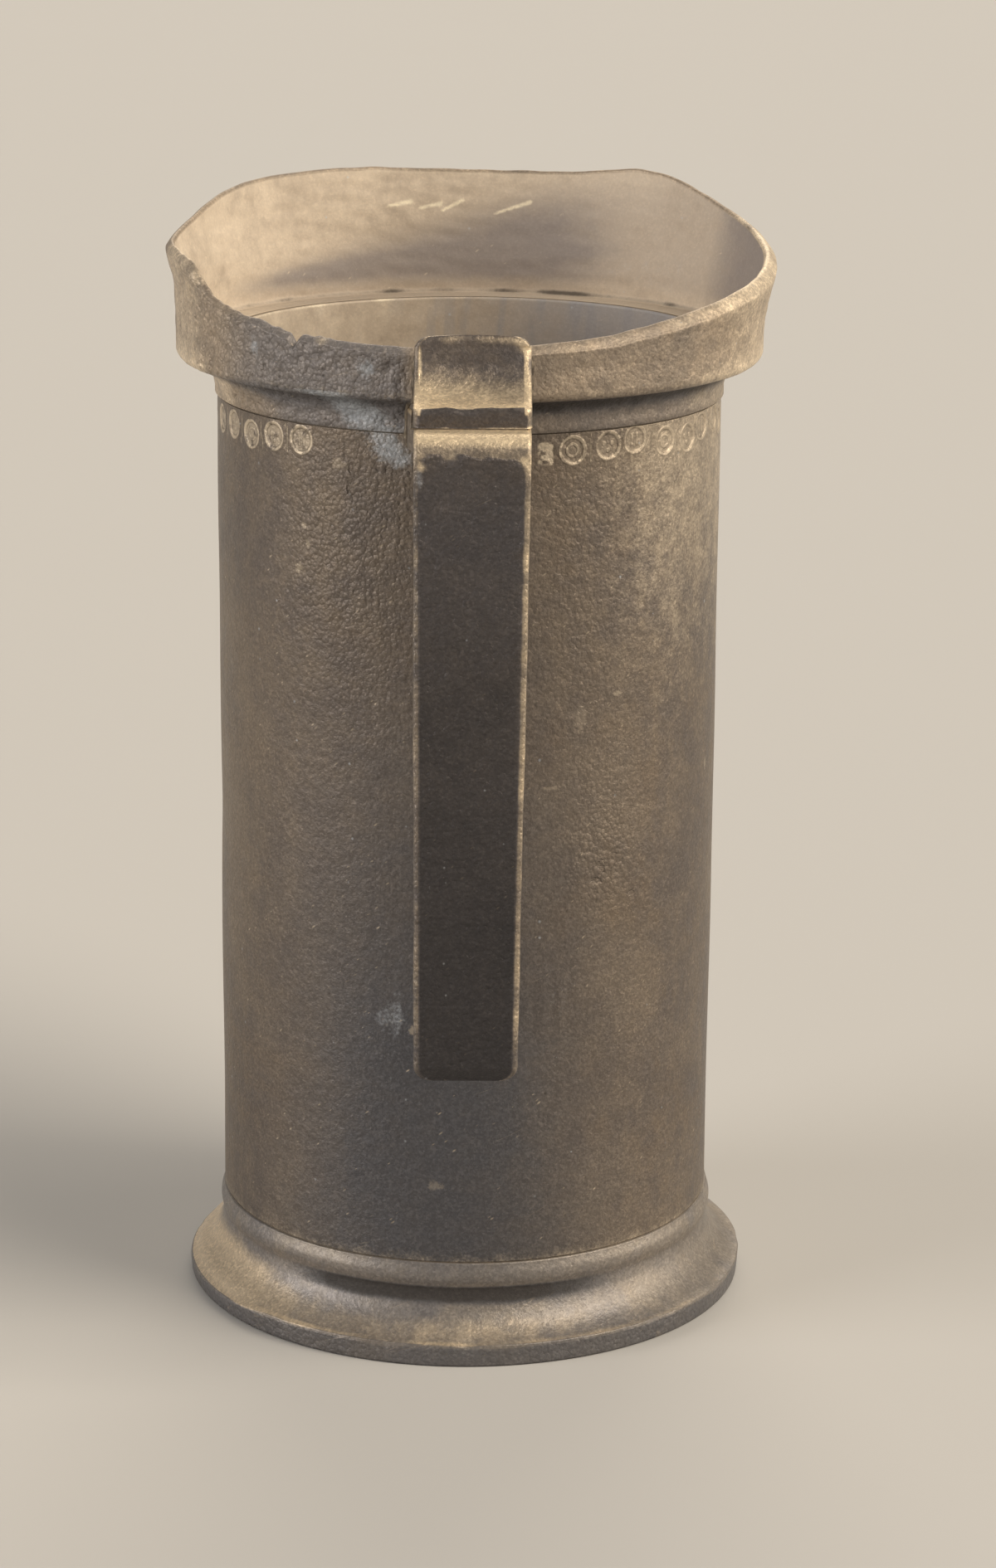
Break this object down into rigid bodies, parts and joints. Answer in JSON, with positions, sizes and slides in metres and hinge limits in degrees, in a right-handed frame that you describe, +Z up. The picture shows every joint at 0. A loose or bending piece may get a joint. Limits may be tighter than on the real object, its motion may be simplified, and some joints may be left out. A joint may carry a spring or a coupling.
{
  "type": "wine measure",
  "caption": "Straight-sided pewter wine measure with a flared foot, a slanted pouring collar above an inner ledge, and a flat strap handle.",
  "frame": {"origin": "on the axis of the drum, in the plane that the foot stands on", "axes": "+Z up along the axis of the drum, the handle towards -Y and the pouring side of the rim towards +Y"},
  "size_m": [0.1104, 0.1311, 0.2016],
  "materials": {
    "pewter_drum": "dull turned pewter with a brown-grey patina, scratches and stamps",
    "pewter_floor": "dull pewter, stained",
    "pewter_foot": "dull turned pewter, worn paler at its edges",
    "pewter_collar": "dull turned pewter, pitted, worn paler at the rim",
    "pewter_handle": "dark cast pewter, polished by the hand along its edges",
    "solder": "bright soft solder"
  },
  "bodies": {
    "root": {"drum": "pewter_drum", "floor_plate": "pewter_floor", "foot_ring": "pewter_foot", "collar": "pewter_collar", "handle_strap": "pewter_handle", "handle_pad": "pewter_handle", "handle_strut": "pewter_handle", "foot_solder": "solder", "floor_solder": "solder", "collar_solder": "solder", "pad_solder": "solder", "root_solder": "solder", "strut_solder": "solder", "strap_solder": "solder"}
  },
  "joints": []
}
